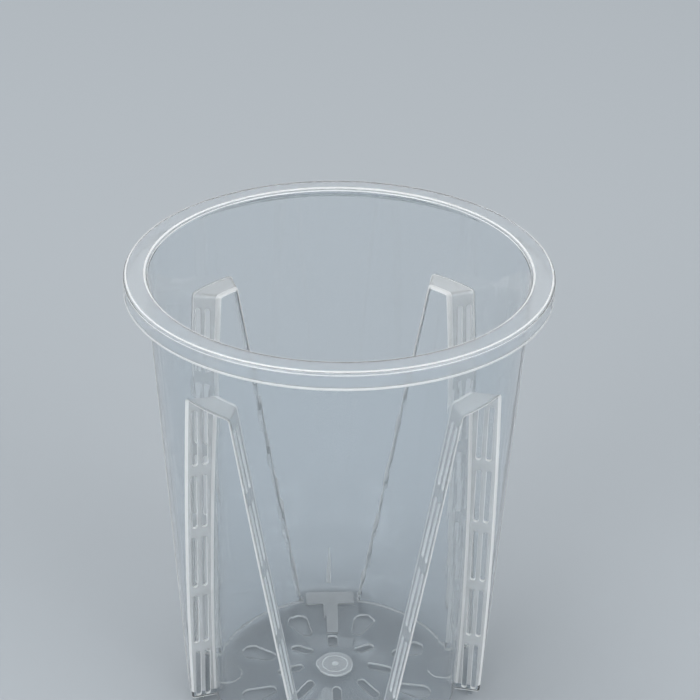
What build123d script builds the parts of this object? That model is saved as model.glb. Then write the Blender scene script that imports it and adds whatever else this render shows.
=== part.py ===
"""Clear orchid pot with slotted air vents.

The real pot is one injection moulding. It is modelled as its moulded regions, each a solid of its
own: rim, upper wall, four legs, four vents with slotted side walls, floor, drain cone and feet.
+Z is up, the origin is the centre of the pot on the surface that it stands on.
"""

import os
from math import cos, radians, sin, sqrt, tan

from build123d import *

# Driving dimensions, in millimetres and degrees
# Pot body
rim_diameter = 150.0
overall_height = 180.0
flange_width = 7.5
wall_taper = 3.24
wall = 1.0
toe_radius = 3.0

# Rim
flange_thickness = 1.4
skirt_height = 6.5
rim_seat_depth = 3.0
rim_edge_round = 1.2
mouth_round = 1.2
flange_root_round = 0.6

# Vents: recesses in the wall, open to the outside and below, between the legs
vent_count = 4
vent_roof_height = 149.4
vent_depth = 9.5
vent_flare = 30.6
leg_half_angle_base = 14.7
leg_half_angle_roof = 36.6
vent_corner_round = 1.5
vent_roof_round = 1.4
vent_mouth_round = 0.6

# Slots in the vents' side walls
slot_rows = 5
slot_columns = 2
slot_width = 1.9
slot_bridge = 4.7
slot_lowest = 1.8
slot_top_gap = 4.6
slot_column_pitch = 3.6
slot_back_gap = 1.5

# Floor drainage
petal_count = 8
petal_outer_width = 8.0
petal_inner_width = 4.8
petal_wall_gap = 7.9
petal_cone_gap = 2.0
cone_radius = 23.2
cone_flat_radius = 12.0
cone_rise = 3.0
cone_slot_count = 8
cone_slot_width = 3.5
cone_slot_gap = 0.7

# Details on the floor and the legs
button_radius = 7.2
button_height = 0.8
button_edge = 0.3
gate_radius = 1.0
gate_height = 0.3
boss_radius = 6.2
boss_toe_gap = 5.5
boss_height = 0.5
boss_edge = 0.2
strip_width = 5.0
strip_height = 0.5
strip_cone_gap = 0.8
bar_length = 8.0
bar_toe_gap = 2.9
bar_side_gap = 0.4
bar_corner_round = 1.0
rib_height = 17.0
rib_base_radius = 1.1
rib_tip_radius = 0.35
rib_seat_gap = 0.2
foot_height = 1.6
foot_diameter = 2.4
foot_edge = 0.4
foot_toe_gap = 0.9

# How far a cutting shape reaches past what it cuts
cut_margin = 5.0

# Worked out from the driving dimensions
base = foot_height
floor_top = base + wall
rim_radius = rim_diameter / 2
wall_top_radius = rim_radius - flange_width
wall_base_radius = wall_top_radius - (overall_height - base) * tan(radians(wall_taper))
rim_seat = overall_height - rim_seat_depth
toe_start = wall_base_radius - toe_radius
leg_pitch = 360 / vent_count
seam_height = vent_roof_height - vent_roof_round
cone_top = base + cone_rise + wall
floor_radius = wall_base_radius - vent_depth - wall
flare = radians(vent_flare)


def wall_radius(height):
    """Outside radius of the tapered wall at a height."""
    return wall_base_radius + (height - base) * tan(radians(wall_taper))


def vent_apex(height):
    """Where the planes of a vent's two side walls cross on its centre line, at a height."""
    ends = []
    for end, leg_half_angle in ((base, leg_half_angle_base), (vent_roof_height, leg_half_angle_roof)):
        angle = radians(leg_pitch / 2 - leg_half_angle)
        ends.append(wall_radius(end) * (cos(angle) - sin(angle) / tan(flare)))
    share = (height - base) / (vent_roof_height - base)
    return ends[0] + (ends[1] - ends[0]) * share


def vent_edge(height, side):
    """Where a vent's side wall leaves the pot's wall, in the vent's frame: +X is its centre line."""
    apex = vent_apex(height)
    reach = sqrt(wall_radius(height) ** 2 - (apex * sin(flare)) ** 2) - apex * cos(flare)
    return Vector(apex + reach * cos(flare), side * reach * sin(flare), height)


def slot_plane(side):
    """The air-side face of a vent's side wall: x runs up the leg's edge, y into the pot."""
    low = vent_edge(base, side)
    high = vent_edge(vent_roof_height, side)
    inward = Vector(-cos(flare), -side * sin(flare), 0)
    up = high - low
    return Plane(origin=low, x_dir=up, z_dir=up.cross(inward))


def vent_space(grow):
    """A vent's air space, grown on every side: by 0 for its air-side faces, by the wall for the pot side."""
    bottom = base - cut_margin
    top = vent_roof_height + grow
    reach = rim_radius + cut_margin
    with BuildPart() as space:
        for height in (bottom, top):
            apex = vent_apex(height) - grow / sin(flare)
            half_width = (reach - apex) * tan(flare)
            with BuildSketch(Plane.XY.offset(height)):
                with BuildLine():
                    Polyline((apex, 0), (reach, half_width), (reach, -half_width), close=True)
                make_face()
        loft(ruled=True)
        with BuildSketch(Plane.XZ):
            with BuildLine():
                Polyline(
                    (0, bottom),
                    (wall_radius(bottom) - vent_depth - grow, bottom),
                    (wall_radius(top) - vent_depth - grow, top),
                    (0, top),
                    close=True,
                )
            make_face()
        revolve(axis=Axis.Z, mode=Mode.SUBTRACT)
        uprights = space.edges().filter_by(lambda edge: edge.length > top - bottom)
        fillet(uprights.sort_by(Axis.X)[:2], vent_corner_round + grow)
        roof_edges = space.faces().sort_by(Axis.Z)[-1].edges().sort_by(Axis.X)[:-1]
        fillet(roof_edges, vent_roof_round + grow)
    return space.part


# Wall as one ring, from the floor to the rim's seat, rounded into the floor at its toe
with BuildPart() as wall_ring:
    with BuildSketch(Plane.XZ) as wall_section:
        with BuildLine():
            Polyline(
                (toe_start, base),
                (wall_base_radius, base),
                (wall_radius(rim_seat), rim_seat),
                (wall_radius(rim_seat) - wall, rim_seat),
                (wall_radius(floor_top) - wall, floor_top),
                (toe_start, floor_top),
                close=True,
            )
        make_face()
        outer_toe = wall_section.vertices().group_by(Axis.Y)[0].sort_by(Axis.X)[-1]
        fillet(outer_toe, toe_radius)
        inner_toe = wall_section.vertices().sort_by_distance((wall_radius(floor_top) - wall, floor_top))[0]
        fillet(inner_toe, toe_radius - wall)
    revolve(axis=Axis.Z)

# The pot's filled outside shape, which trims the vents
with BuildPart() as envelope:
    with BuildSketch(Plane.XZ) as envelope_section:
        with BuildLine():
            Polyline(
                (0, base),
                (wall_base_radius, base),
                (wall_radius(rim_seat), rim_seat),
                (0, rim_seat),
                close=True,
            )
        make_face()
        fillet(envelope_section.vertices().group_by(Axis.Y)[0].sort_by(Axis.X)[-1], toe_radius)
    revolve(axis=Axis.Z)

vent_air = vent_space(0)
vent_outside = vent_space(wall)

# Rim: flange and down-turned skirt on the top of the wall
with BuildPart() as rim:
    flange_bottom = overall_height - flange_thickness
    skirt_bottom = overall_height - skirt_height
    with BuildSketch(Plane.XZ) as rim_section:
        with BuildLine():
            Polyline(
                (wall_radius(rim_seat) - wall, rim_seat),
                (wall_top_radius - wall, overall_height),
                (rim_radius, overall_height),
                (rim_radius, skirt_bottom),
                (rim_radius - wall, skirt_bottom),
                (rim_radius - wall, flange_bottom),
                (wall_radius(flange_bottom), flange_bottom),
                (wall_radius(rim_seat), rim_seat),
                close=True,
            )
        make_face()
        top_corners = rim_section.vertices().group_by(Axis.Y)[-1].sort_by(Axis.X)
        fillet(top_corners[0], mouth_round)
        fillet(top_corners[-1], rim_edge_round)
        flange_root = (wall_radius(flange_bottom), flange_bottom)
        fillet(rim_section.vertices().sort_by_distance(flange_root)[0], flange_root_round)
    revolve(axis=Axis.Z)

# Upper wall: the closed band over the vents
with BuildPart() as upper_wall:
    add(wall_ring.part)
    split(bisect_by=Plane.XY.offset(seam_height), keep=Keep.TOP)
    with PolarLocations(0, vent_count, start_angle=leg_pitch / 2):
        add(vent_outside, mode=Mode.SUBTRACT)

# Legs: the tongues of wall between the vents
with BuildPart() as legs:
    add(wall_ring.part)
    split(bisect_by=Plane.XY.offset(seam_height), keep=Keep.BOTTOM)
    with PolarLocations(0, vent_count, start_angle=leg_pitch / 2):
        add(vent_outside, mode=Mode.SUBTRACT)

# Vent lining on the +X axis: roof, back wall and two side walls of one thickness, rounded at the mouth
with BuildPart() as vent_lining:
    add(envelope.part)
    add(vent_outside, mode=Mode.INTERSECT)
    add(vent_air, mode=Mode.SUBTRACT)
    uprights = vent_lining.edges().filter_by(lambda edge: edge.length > seam_height - 2 * toe_radius)
    outer_uprights = uprights.sort_by(lambda edge: Vector((edge @ 0.5).X, (edge @ 0.5).Y).length)[-4:]
    fillet(outer_uprights.sort_by(lambda edge: abs((edge @ 0.5).Y))[:2], vent_mouth_round)

with BuildPart() as vent_roof:
    add(vent_lining.part)
    split(bisect_by=Plane.XY.offset(seam_height), keep=Keep.TOP)

# A plug as wide as the vent's back wall and its rounded corners
with BuildPart() as back_plug:
    plug_bottom = base - cut_margin
    with BuildSketch(Plane.XZ):
        with BuildLine():
            Polyline(
                (0, plug_bottom),
                (wall_radius(plug_bottom) - vent_depth + vent_corner_round, plug_bottom),
                (wall_radius(seam_height) - vent_depth + vent_corner_round, seam_height),
                (0, seam_height),
                close=True,
            )
        make_face()
    revolve(axis=Axis.Z)

with BuildPart() as vent_back_wall:
    add(vent_lining.part)
    add(back_plug.part, mode=Mode.INTERSECT)


def slotted_wall(side):
    """A vent's side wall with its slots, on the +Y side for side 1 and the -Y side for side -1."""
    face = slot_plane(side)
    edge_length = (vent_edge(vent_roof_height, side) - vent_edge(base, side)).length
    bridges = (slot_rows - 1) * slot_bridge
    slot_length = (edge_length - slot_lowest - slot_top_gap - bridges) / slot_rows
    last_column = vent_depth - vent_corner_round - slot_back_gap
    with BuildPart() as piece:
        add(vent_lining.part)
        split(bisect_by=Plane.XY.offset(seam_height), keep=Keep.BOTTOM)
        add(back_plug.part, mode=Mode.SUBTRACT)
        split(bisect_by=Plane.XZ, keep=Keep.TOP if side < 0 else Keep.BOTTOM)
        with BuildSketch(face):
            for row in range(slot_rows):
                middle = slot_lowest + slot_length / 2 + row * (slot_length + slot_bridge)
                height = base + (vent_roof_height - base) * middle / edge_length
                edge = face.to_local_coords(vent_edge(height, side))
                for column in range(slot_columns):
                    across = last_column - column * slot_column_pitch
                    with Locations((edge.X, edge.Y + across)):
                        SlotOverall(slot_length, slot_width)
        extrude(amount=3 * wall, both=True, mode=Mode.SUBTRACT)
    return piece.part


def foot(side):
    """A small round foot under a vent's side wall, just inside the wall's toe."""
    inward = Vector(-cos(flare), -side * sin(flare), 0)
    to_leg = Vector(-sin(flare), side * cos(flare), 0)
    place = vent_edge(base, side) + inward * (toe_radius + foot_toe_gap) + to_leg * (wall / 2)
    with BuildPart() as piece:
        with BuildSketch():
            with Locations((place.X, place.Y)):
                Circle(foot_diameter / 2)
        extrude(amount=foot_height)
        chamfer(piece.edges().group_by(Axis.Z)[0], foot_edge)
    return piece.part


# Petal drain hole on the +X axis, wide and round at its outer end
with BuildSketch() as petal:
    outer_round = petal_outer_width / 2
    inner_round = petal_inner_width / 2
    with Locations((floor_radius - petal_wall_gap - outer_round, 0)):
        Circle(outer_round)
    with Locations((cone_radius + petal_cone_gap + inner_round, 0)):
        Circle(inner_round)
    make_hull()

# Floor: lobed plate that fills the pot's base between the vents, with a ring of petal drain holes
with BuildPart() as floor_plate:
    with BuildSketch(Plane.XY.offset(base)):
        Circle(toe_start)
        Circle(cone_radius, mode=Mode.SUBTRACT)
        with PolarLocations(0, petal_count, start_angle=180 / petal_count):
            add(petal.sketch, mode=Mode.SUBTRACT)
    extrude(amount=wall)
    with PolarLocations(0, vent_count, start_angle=leg_pitch / 2):
        add(vent_outside, mode=Mode.SUBTRACT)

# Drain cone: raised middle of the floor with radial slots down its slope
with BuildPart() as drain_cone:
    with BuildSketch(Plane.XZ):
        with BuildLine():
            Polyline(
                (0, base + cone_rise),
                (cone_flat_radius, base + cone_rise),
                (cone_radius, base),
                (cone_radius, floor_top),
                (cone_flat_radius, cone_top),
                (0, cone_top),
                close=True,
            )
        make_face()
    revolve(axis=Axis.Z)
    with BuildSketch():
        with PolarLocations((cone_flat_radius + cone_radius) / 2, cone_slot_count):
            SlotOverall(cone_radius - cone_flat_radius - 2 * cone_slot_gap, cone_slot_width)
    extrude(amount=cone_top, mode=Mode.SUBTRACT)

# Hub button with the mark of the mould's gate
with BuildPart() as hub_button:
    with BuildSketch(Plane.XY.offset(cone_top)):
        Circle(button_radius)
    extrude(amount=button_height)
    chamfer(hub_button.edges().group_by(Axis.Z)[-1], button_edge)
    with BuildSketch(Plane.XY.offset(cone_top + button_height)):
        Circle(gate_radius)
    extrude(amount=gate_height)

# Round boss on the floor of a side leg, on +X
with BuildPart() as floor_boss:
    with BuildSketch(Plane.XY.offset(floor_top)):
        with Locations((toe_start - boss_toe_gap - boss_radius, 0)):
            Circle(boss_radius)
    extrude(amount=boss_height)
    chamfer(floor_boss.edges().group_by(Axis.Z)[-1], boss_edge)

# Raised T on the floor of the front and back legs, on +X: its bar fits between the leg's side walls
with BuildPart() as floor_strip:
    strip_start = cone_radius + strip_cone_gap
    bar_end = toe_start - bar_toe_gap
    bar_start = bar_end - bar_length
    leg_wall_lean = radians(leg_pitch / 2 - vent_flare)
    leg_edge_x = wall_base_radius * cos(radians(leg_half_angle_base))
    leg_edge_y = wall_base_radius * sin(radians(leg_half_angle_base))
    leg_inside = leg_edge_y - (leg_edge_x - bar_start) * tan(leg_wall_lean) - wall / cos(leg_wall_lean)
    with BuildSketch(Plane.XY.offset(floor_top)) as strip_outline:
        with Locations(((strip_start + bar_end) / 2, 0)):
            Rectangle(bar_end - strip_start, strip_width)
        with Locations(((bar_start + bar_end) / 2, 0)):
            Rectangle(bar_length, 2 * (leg_inside - bar_side_gap))
        fillet(strip_outline.vertices(), bar_corner_round)
    extrude(amount=strip_height)

# Half-round tapered rib up the inside of the front and back legs, on +X, standing over the toe's round
with BuildPart() as leg_rib:
    rib_bottom = base + toe_radius
    rib_seat = Vector(wall_radius(rib_bottom) - wall - rib_seat_gap, 0, rib_bottom)
    rib_lean = Vector(sin(radians(wall_taper)), 0, cos(radians(wall_taper)))
    rib_plane = Plane(rib_seat, x_dir=(0, 1, 0), z_dir=rib_lean)
    with BuildSketch(rib_plane):
        Circle(rib_base_radius)
    with BuildSketch(rib_plane.offset(rib_height)):
        Circle(rib_tip_radius)
    loft()
    split(bisect_by=Plane(rib_seat, x_dir=(0, 1, 0), z_dir=rib_lean.cross(Vector(0, 1, 0))), keep=Keep.TOP)

pieces = {
    "rim": rim.part,
    "upper_wall": upper_wall.part,
    "floor_plate": floor_plate.part,
    "drain_cone": drain_cone.part,
    "hub_button": hub_button.part,
}


def add_turned(name, part, angle):
    """Puts a piece that was made on +X at its own angle about the pot's axis."""
    with BuildPart() as placed:
        with Locations(Rotation(0, 0, angle)):
            add(part)
    pieces[name] = placed.part


# Vents stand on the diagonals, legs on the axes
vent_sides = {"back_right": 45, "back_left": 135, "front_left": 225, "front_right": 315}
leg_sides = {"right": 0, "back": 90, "left": 180, "front": 270}
slotted_walls = {"a": slotted_wall(-1), "b": slotted_wall(1)}
feet = {"a": foot(-1), "b": foot(1)}
for place, angle in vent_sides.items():
    add_turned(f"vent_roof_{place}", vent_roof.part, angle)
    add_turned(f"vent_back_wall_{place}", vent_back_wall.part, angle)
    for end in ("a", "b"):
        add_turned(f"slotted_wall_{place}_{end}", slotted_walls[end], angle)
        add_turned(f"foot_{place}_{end}", feet[end], angle)
right_leg = legs.solids().sort_by(Axis.X)[-1]
for place, angle in leg_sides.items():
    add_turned(f"leg_{place}", right_leg, angle)
for place in ("right", "left"):
    add_turned(f"floor_boss_{place}", floor_boss.part, leg_sides[place])
for place in ("front", "back"):
    add_turned(f"floor_strip_{place}", floor_strip.part, leg_sides[place])
    add_turned(f"leg_rib_{place}", leg_rib.part, leg_sides[place])

os.makedirs("parts", exist_ok=True)
for name, part in pieces.items():
    part.label = name
    export_step(part, f"parts/{name}.step")
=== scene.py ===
"""Clear orchid pot with slotted air vents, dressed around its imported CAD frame.

The real pot is one injection moulding, and a seam inside clear plastic shows, so one continuous
shell stands for all the regions of the frame. It is a middle surface of quads that is thickened to
the wall, then cut by the slots and drain holes and joined with the small moulded details.
"""

import math
from functools import partial

import bmesh
import bpy
from mathutils import Matrix, Vector


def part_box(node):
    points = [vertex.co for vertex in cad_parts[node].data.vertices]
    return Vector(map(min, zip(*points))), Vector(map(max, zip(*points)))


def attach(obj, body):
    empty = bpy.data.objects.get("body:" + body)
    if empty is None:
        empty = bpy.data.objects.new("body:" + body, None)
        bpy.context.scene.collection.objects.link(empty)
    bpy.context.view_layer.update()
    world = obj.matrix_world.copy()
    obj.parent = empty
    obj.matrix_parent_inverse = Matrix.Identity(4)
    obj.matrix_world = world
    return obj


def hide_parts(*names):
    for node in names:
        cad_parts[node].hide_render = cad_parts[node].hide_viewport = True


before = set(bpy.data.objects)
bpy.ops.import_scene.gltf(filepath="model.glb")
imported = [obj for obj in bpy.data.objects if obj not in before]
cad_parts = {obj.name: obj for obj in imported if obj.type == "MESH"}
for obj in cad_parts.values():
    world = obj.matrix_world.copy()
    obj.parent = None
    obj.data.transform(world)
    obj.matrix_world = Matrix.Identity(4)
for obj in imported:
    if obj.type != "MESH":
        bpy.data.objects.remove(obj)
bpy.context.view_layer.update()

bl_info = {
    "name": "Clear orchid pot",
    "version": (1, 0, 0),
    "blender": (4, 5, 0),
    "location": "View3D > Sidebar > Orchid Pot",
    "description": "Builds a clear slotted orchid pot and its studio around a CAD frame",
    "category": "Object",
}

MM = 0.001
RIGHT_ANGLE = math.pi / 2
SHELL = "pot_shell"

# How finely the shell's middle surface is divided
SIDE_ROWS = 30
LEG_COLUMNS = 24
DEPTH_COLUMNS = 5
ROUND_STEPS = 4
CREASE_STEPS = 6
ROOF_COLUMNS = 10
UPPER_ROWS = 10
FLOOR_ROWS = 8
HUB_ROWS = 4
RIM_STEPS = 8
FLANGE_STEPS = 4
SKIRT_STEPS = 4

# Points nearer than this are one, and edges that turn more than this stay crisp
WELD = 1e-6
SHARP_ANGLE = math.radians(38)

# How finely the holes and the moulded details are divided
SLOT_STEPS = 18
DRAIN_STEPS = 34
TURNED_STEPS = 48
RIB_ROWS = 12
RIB_STEPS = 20
FOOT_ROWS = 8
FOOT_STEPS = 20

# Widths of the painted white highlight lines, in the white edge finish, at the skirt's edge and along the
# vents' creases
SKIRT_LINE = 0.9 * MM
CREASE_LINE = 0.6 * MM

# Angles about the pot's axis at which half a leg and a side wall end on the floor's ring
LEG_FAN = math.radians(8.5)
SIDE_FAN = math.radians(14.0)

# Share of half a leg over which its bend into the floor grows to the full toe
TOE_SHARE = 0.4

# Half width of the bends at the cone's foot and top, and plain floor outside the petals
CONE_SOFT = 0.4 * MM
PETAL_MARGIN = 2 * MM

# How far a moulded detail starts inside the plastic below it
SUNK = 0.3 * MM
BUTTON_SUNK = 0.4 * MM

# Rounding of the outer edges, and how far in the middle of a rounded edge lies
SKIRT_EDGE = 0.25 * MM
BUTTON_EDGE = 0.3 * MM
BOSS_EDGE = 0.2 * MM
STRIP_EDGE = 0.15 * MM
EASE = 0.3

# Noise values between which a flow mark comes up to its full gloss
MARK_LOW, MARK_HIGH = 0.35, 0.65

# The softboxes: name, place, size and watts
LAMPS = (
    ("top_softbox", (-0.75, 0.5, 3.0), (2.5, 2.5), 22.0),
    ("left_softbox", (-1.88, -1.88, 1.24), (2.5, 2.0), 28.0),
    ("right_softbox", (1.88, -1.88, 1.24), (2.5, 2.0), 28.0),
)
LAMP_AIM = Vector((0, 0, 0.09))

# Half the width of the studio's floor, in metres
FLOOR_HALF = 8.0

# Light crosses many walls of the pot before it comes out
CLEAR_BOUNCES = 24
GLOSS_BOUNCES = 8

# The shell's finishes, in the order of its material slots; all but the clear wall are painted light
# The plastic is the same all over. The rim's finish is less clear, painted for the light its doubled
# plastic scatters,
# and rounded edges, creases and slot walls are near white, a painted glow for the light that leaves the
# plastic there.
# the vents' side walls, roofs and raised marks are whiter, painted for the light that haze scatters at a
# glancing view,
WALL, PAINTED_RIM_LIGHT, PAINTED_GLANCING_LIGHT, EDGE = 0, 1, 2, 3

# Heights that the frame gives, and the height of the skirt's lower edge
rim_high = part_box("rim")[1]
foot_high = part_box("foot_back_right_a")[1]
SKIRT_END = 173.5 * MM


def linear(hex_colour):
    """An sRGB hex colour as the linear RGBA that Blender's sockets take."""
    channels = [int(hex_colour[i : i + 2], 16) / 255 for i in (1, 3, 5)]
    return tuple(c / 12.92 if c <= 0.04045 else ((c + 0.055) / 1.055) ** 2.4 for c in channels) + (1.0,)


def length(name, description, millimetres):
    """A size that the sidebar shows as a length."""
    return bpy.props.FloatProperty(
        name=name, description=description, default=millimetres * MM, unit="LENGTH", precision=5
    )


def turn(name, description, degrees):
    """An angle."""
    return bpy.props.FloatProperty(
        name=name, description=description, default=math.radians(degrees), subtype="ANGLE"
    )


def count(name, description, number):
    """How many of something there are."""
    return bpy.props.IntProperty(name=name, description=description, default=number, min=1)


def share(name, description, value):
    """A fraction from 0 to 1."""
    return bpy.props.FloatProperty(
        name=name, description=description, default=value, min=0, max=1, subtype="FACTOR"
    )


def colour(name, description, hex_colour):
    """A colour, written as sRGB hex."""
    return bpy.props.FloatVectorProperty(
        name=name, description=description, default=linear(hex_colour), size=4, subtype="COLOR"
    )


class BodySizes(bpy.types.PropertyGroup):
    """The pot's wall and rim."""

    rim_diameter: length("Rim diameter", "Across the rim's skirt", 2 * rim_high.x / MM)
    height: length("Height", "From the feet to the top of the rim", rim_high.z / MM)
    foot_height: length("Foot height", "How far the feet lift the floor", foot_high.z / MM)
    wall: length("Wall", "Thickness of the plastic", 1.0)
    wall_taper: turn("Wall taper", "Lean of the wall", 3.24)
    toe_round: length("Toe round", "Bend from a leg into the floor", 2.5)
    floor_round: length("Floor round", "Bend from the vents' walls into the floor", 0.7)
    flange_width: length("Flange width", "From the wall's outside to the rim's edge", 7.5)
    skirt_height: length("Skirt height", "From the top to the skirt's edge", (rim_high.z - SKIRT_END) / MM)
    mouth_round: length("Mouth round", "Bend from the wall into the flange", 1.3)
    edge_round: length("Edge round", "Bend from the flange into the skirt", 1.0)


class VentSizes(bpy.types.PropertyGroup):
    """The recesses in the wall."""

    number: count("Vents", "How many vents there are", 4)
    roof_height: length("Roof height", "Underside of a vent's roof", 149.4)
    depth: length("Depth", "From the wall's outside to a vent's back", 9.5)
    flare: turn("Flare", "Side wall against the vent's centre line", 30.6)
    leg_half_base: turn("Leg at the floor", "Half the angle that a leg takes up at the floor", 14.7)
    leg_half_roof: turn("Leg at the roof", "Half the angle that a leg takes up at the roof", 36.6)
    mouth_round: length("Mouth round", "Rounding where a vent leaves the wall", 0.7)
    corner_round: length("Roof corner round", "Rounding between a side wall and the roof", 0.9)
    back_round: length("Back round", "Rounding between the side walls and the back", 0.75)


class SlotSizes(bpy.types.PropertyGroup):
    """The slots in the vents' side walls."""

    rows: count("Rows", "Slots up a side wall", 5)
    columns: count("Columns", "Slots across a side wall", 2)
    width: length("Width", "Across a slot", 1.9)
    bridge: length("Bridge", "Plastic between two rows", 4.7)
    lowest: length("Lowest", "From the floor to the first slot", 1.8)
    top_gap: length("Top gap", "From the last slot to the roof", 4.6)
    column_pitch: length("Column pitch", "Between the columns' middles", 3.6)
    last_column: length("Last column", "From the wall's edge to the last column", 6.5)
    edge_round: length("Edge round", "Rounding of a slot's edges", 0.3)


class FloorSizes(bpy.types.PropertyGroup):
    """The floor's drain holes and drain cone."""

    petals: count("Petals", "Petal-shaped drain holes", 8)
    petal_outer_radius: length("Petal outer radius", "Round of a petal's outer end", 4.0)
    petal_inner_radius: length("Petal inner radius", "Round of a petal's inner end", 2.4)
    petal_outer_place: length("Petal outer place", "Outer round's middle from the pot's axis", 35.0)
    petal_inner_place: length("Petal inner place", "Inner round's middle from the pot's axis", 27.6)
    cone_radius: length("Cone radius", "Foot of the drain cone", 23.2)
    cone_flat_radius: length("Cone flat radius", "Flat top of the drain cone", 12.0)
    cone_rise: length("Cone rise", "Height of the drain cone", 3.0)
    cone_slots: count("Cone slots", "Radial slots in the cone", 8)
    cone_slot_width: length("Cone slot width", "Across a radial slot", 3.5)
    cone_slot_gap: length("Cone slot gap", "Plastic at each end of a radial slot", 0.7)
    edge_round: length("Edge round", "Rounding of the holes' edges", 0.45)


class DetailSizes(bpy.types.PropertyGroup):
    """Small moulded details on the floor and the legs."""

    button_radius: length("Button radius", "Round button on the cone", 7.2)
    button_height: length("Button height", "How far the button stands up", 0.8)
    ring_radius: length("Ring radius", "Fine ring cut into the button's top", 4.9)
    gate_radius: length("Gate radius", "Mark that the mould's gate leaves", 1.0)
    gate_height: length("Gate height", "How far the gate mark stands up", 0.3)
    boss_radius: length("Boss radius", "Round boss on the side legs' floor", 6.2)
    boss_place: length("Boss place", "Boss from the pot's axis", 42.7)
    boss_height: length("Boss height", "How far a boss stands up", 0.5)
    strip_width: length("Strip width", "Stem of the raised T", 5.0)
    strip_start: length("Strip start", "Inner end of the T's stem", 24.0)
    strip_end: length("Strip end", "Outer edge of the T's bar", 51.5)
    bar_length: length("Bar length", "The T's bar along the leg", 8.0)
    bar_width: length("Bar width", "The T's bar across the leg", 20.2)
    strip_height: length("Strip height", "How far the T stands up", 0.5)
    strip_round: length("Strip round", "Corners of the T", 1.0)
    rib_height: length("Rib height", "Tapered rib up a leg", 17.0)
    rib_base_radius: length("Rib base radius", "Foot of the rib", 1.1)
    rib_tip_radius: length("Rib tip radius", "Tip of the rib", 0.35)
    foot_diameter: length("Foot diameter", "Across a foot", 2.4)
    foot_place: length("Foot place", "From a leg's edge to a foot, along the side wall", 3.9)


class PlasticFinish(bpy.types.PropertyGroup):
    """The clear plastic."""

    tint: colour("Tint", "Colour of the clear plastic", "#F3F7FA")
    wall_clarity: share("Wall clarity", "Share of the light that passes the wall unscattered", 0.97)
    # Painted light: the next three clarities whiten the rim, the vents' side walls and the edges to stand
    # in
    # for the light that these places scatter or let out; the plastic is the same all over
    painted_rim_light_clarity: share("Painted rim light clarity", "The same on the rim", 0.88)
    painted_glancing_light_clarity: share("Painted glancing light clarity", "The same on the vents' side walls, roofs and raised marks", 0.6)
    painted_edge_glow_clarity: share("Painted edge glow clarity", "The same on rounded edges and in slots", 0.2)
    clear_sheen: share("Clear sheen", "Whiteness of the clear finishes at a glancing angle", 0.6)
    clear_sheen_width: share("Clear sheen width", "How far that whiteness spreads", 0.2)
    # The next two give the sheen of the painted-light finishes of the side walls and the edges
    painted_light_sheen: share("Painted light sheen", "Whiteness of the milky finishes at a glancing angle", 1.0)
    painted_light_sheen_width: share("Painted light sheen width", "How far that whiteness spreads", 0.35)
    scatter_reach: length("Scatter reach", "How far light spreads inside milky plastic", 0.4)
    refraction: bpy.props.FloatProperty(name="Refraction", description="Index of refraction", default=1.49)
    gloss_low: share("Gloss low", "Roughness between the flow marks", 0.0)
    gloss_high: share("Gloss high", "Roughness on the flow marks", 0.03)
    mark_width: length("Mark width", "Width of a flow mark", 5.0)
    mark_length: length("Mark length", "Length of a flow mark", 90.0)
    mark_depth: length("Mark depth", "Depth of a flow mark", 0.05)


class StudioSettings(bpy.types.PropertyGroup):
    """Floor, lamps and camera."""

    floor_colour: colour("Floor", "Colour of the pale floor", "#AFB5BA")
    world_colour: colour("World colour", "Colour of the light from all round", "#F4F6F8")
    world_light: share("World light", "Strength of the light from all round", 0.75)
    lens: bpy.props.FloatProperty(name="Lens", description="Focal length in millimetres", default=94.83)
    pitch: turn("Pitch", "How far the camera looks down", 28.92)
    swing: turn("Swing", "How far the camera stands to the side", -3.4)
    roll: turn("Roll", "How far the camera leans", 0.87)
    distance: length("Distance", "From the camera to what it looks at", 656.69)
    aim_height: length("Aim height", "Height of what the camera looks at", 146.79)
    aim_side: length("Aim side", "How far to the right the camera looks", 4.04)


class OrchidPotSettings(bpy.types.PropertyGroup):
    """Everything that a user would change."""

    body: bpy.props.PointerProperty(type=BodySizes)
    vents: bpy.props.PointerProperty(type=VentSizes)
    slots: bpy.props.PointerProperty(type=SlotSizes)
    floor: bpy.props.PointerProperty(type=FloorSizes)
    details: bpy.props.PointerProperty(type=DetailSizes)
    plastic: bpy.props.PointerProperty(type=PlasticFinish)
    studio: bpy.props.PointerProperty(type=StudioSettings)


def steps(start, end, number):
    """Evenly spaced values, with both ends."""
    return [start + (end - start) * i / number for i in range(number + 1)]


def polar(radius, angle, height):
    """A point at a radius and angle about the pot's axis."""
    return Vector((radius * math.cos(angle), radius * math.sin(angle), height))


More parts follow.
